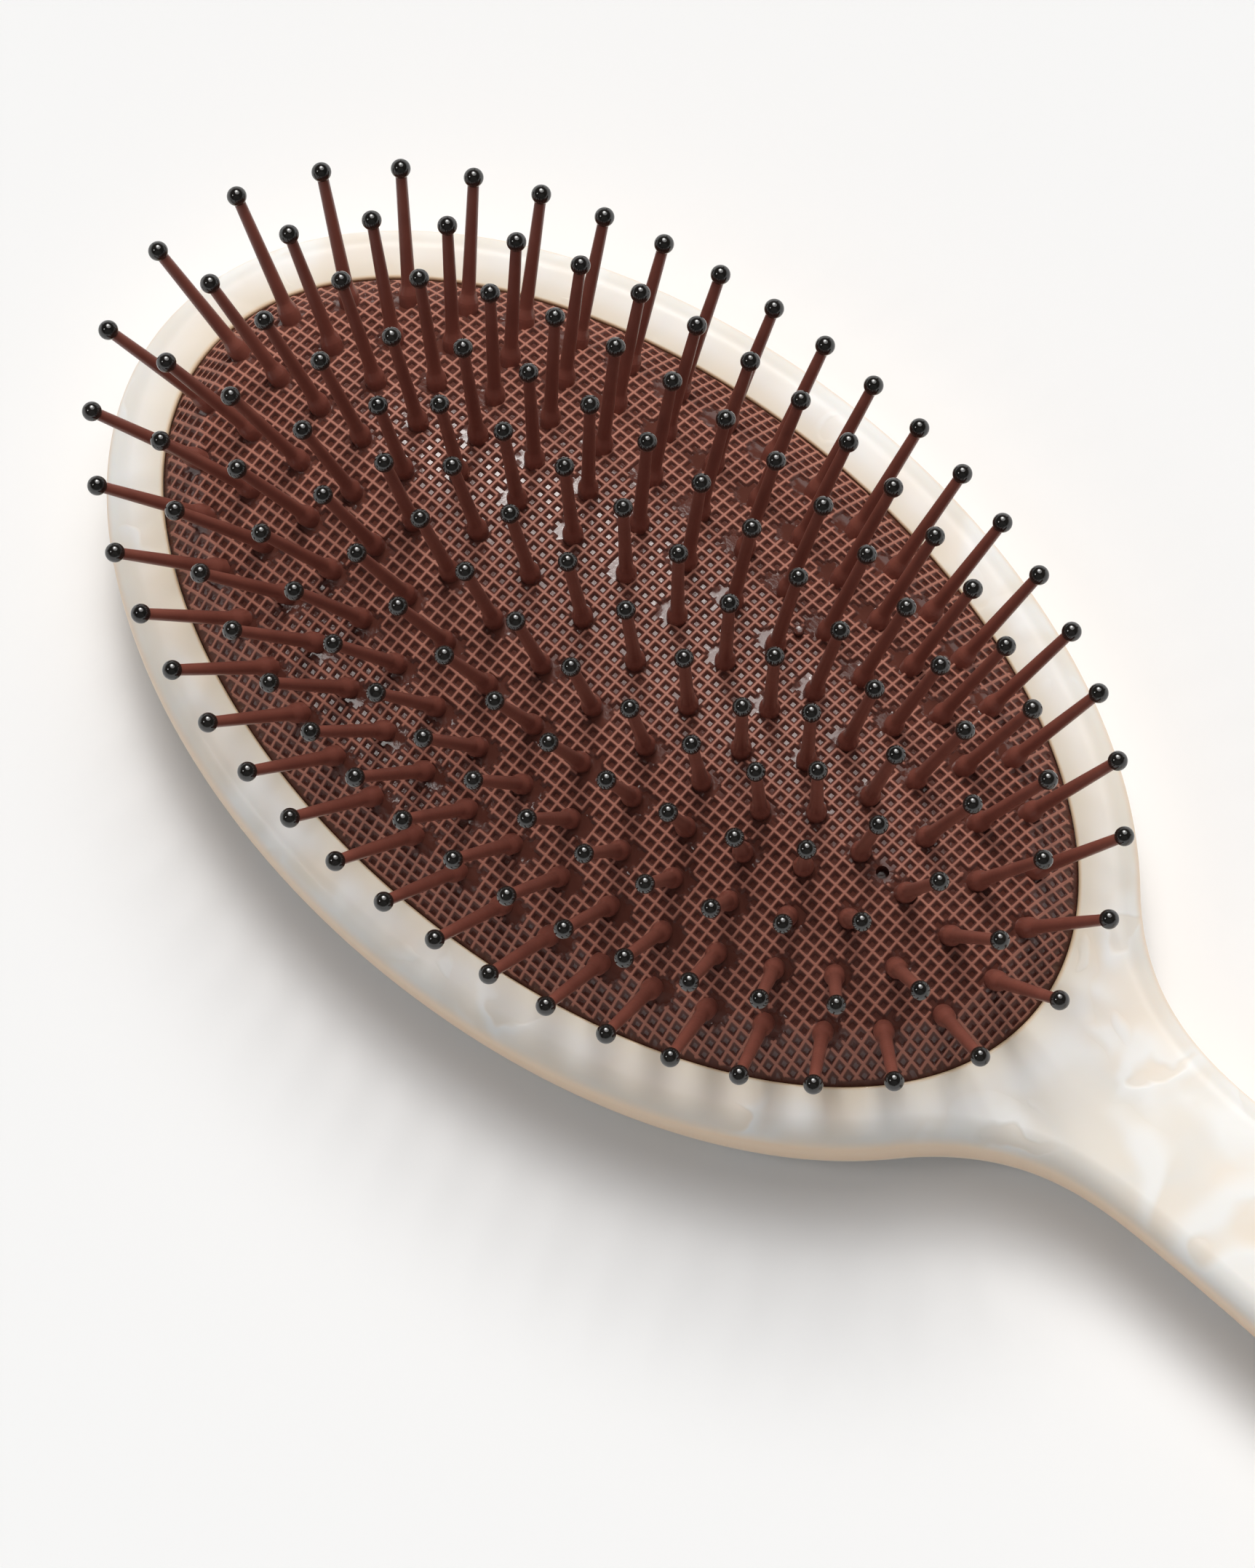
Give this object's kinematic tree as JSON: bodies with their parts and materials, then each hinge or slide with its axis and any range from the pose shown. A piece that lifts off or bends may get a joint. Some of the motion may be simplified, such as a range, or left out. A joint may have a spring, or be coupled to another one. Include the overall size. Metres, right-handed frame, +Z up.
{
  "type": "detangling cushion brush",
  "caption": "Oval air-cushion hairbrush lying on its back: rounded one-piece body with waisted handle, domed rubber pad and rings of ball-tipped pins that sink when pressed.",
  "frame": {"origin": "on the flat back that the brush lies on, straight under the middle of the cushion", "axes": "+X from the middle of the cushion towards the end of the handle, +Z up out of the cushion along the pins, +Y to the left"},
  "size_m": [0.2385, 0.0706, 0.0367],
  "materials": {
    "pearl_acetate": "polished pearl-marbled cellulose acetate, cream with brighter nacre patches",
    "cushion_rubber": "satin red-brown rubber with a fine moulded waffle",
    "pin_nylon": "satin red-brown moulded nylon",
    "tip_gloss": "high-gloss black ball"
  },
  "bodies": {
    "frame": {"body": "pearl_acetate", "cushion": "cushion_rubber"},
    "ring_1": {"pins_ring_1_left": "pin_nylon", "pins_ring_1_right": "pin_nylon", "tips_ring_1_left": "tip_gloss", "tips_ring_1_right": "tip_gloss"},
    "ring_2": {"pins_ring_2_left": "pin_nylon", "pins_ring_2_right": "pin_nylon", "tips_ring_2_left": "tip_gloss", "tips_ring_2_right": "tip_gloss"},
    "ring_3": {"pins_ring_3_left": "pin_nylon", "pins_ring_3_right": "pin_nylon", "tips_ring_3_left": "tip_gloss", "tips_ring_3_right": "tip_gloss"},
    "ring_4": {"pins_ring_4_left": "pin_nylon", "pins_ring_4_right": "pin_nylon", "tips_ring_4_left": "tip_gloss", "tips_ring_4_right": "tip_gloss"},
    "ring_5": {"pins_ring_5_left": "pin_nylon", "pins_ring_5_right": "pin_nylon", "tips_ring_5_left": "tip_gloss", "tips_ring_5_right": "tip_gloss"},
    "middle_row": {"pins_row_handle_half": "pin_nylon", "pins_row_head_half": "pin_nylon", "tips_row_handle_half": "tip_gloss", "tips_row_head_half": "tip_gloss"}
  },
  "joints": [
    {"name": "press_middle_row", "type": "slide", "parent": "frame", "child": "middle_row", "axis": [0, 0, -1], "range_m": [0, 0.004], "stiffness_N_per_m": 360, "deforming": ["cushion"]},
    {"name": "press_ring_5", "type": "slide", "parent": "frame", "child": "ring_5", "axis": [0, 0, -1], "range_m": [0, 0.0039], "stiffness_N_per_m": 1080},
    {"name": "press_ring_4", "type": "slide", "parent": "frame", "child": "ring_4", "axis": [0, 0, -1], "range_m": [0, 0.0036], "stiffness_N_per_m": 1440},
    {"name": "press_ring_3", "type": "slide", "parent": "frame", "child": "ring_3", "axis": [0, 0, -1], "range_m": [0, 0.00313], "stiffness_N_per_m": 1800},
    {"name": "press_ring_2", "type": "slide", "parent": "frame", "child": "ring_2", "axis": [0, 0, -1], "range_m": [0, 0.00246], "stiffness_N_per_m": 2160},
    {"name": "press_ring_1", "type": "slide", "parent": "frame", "child": "ring_1", "axis": [0, 0, -1], "range_m": [0, 0.00162], "stiffness_N_per_m": 2520}
  ],
  "couplings": [
    {"joint": "press_ring_5", "follows": "press_middle_row", "ratio": 0.97216},
    {"joint": "press_ring_4", "follows": "press_middle_row", "ratio": 0.89855},
    {"joint": "press_ring_3", "follows": "press_middle_row", "ratio": 0.77892},
    {"joint": "press_ring_2", "follows": "press_middle_row", "ratio": 0.61328},
    {"joint": "press_ring_1", "follows": "press_middle_row", "ratio": 0.40164}
  ]
}
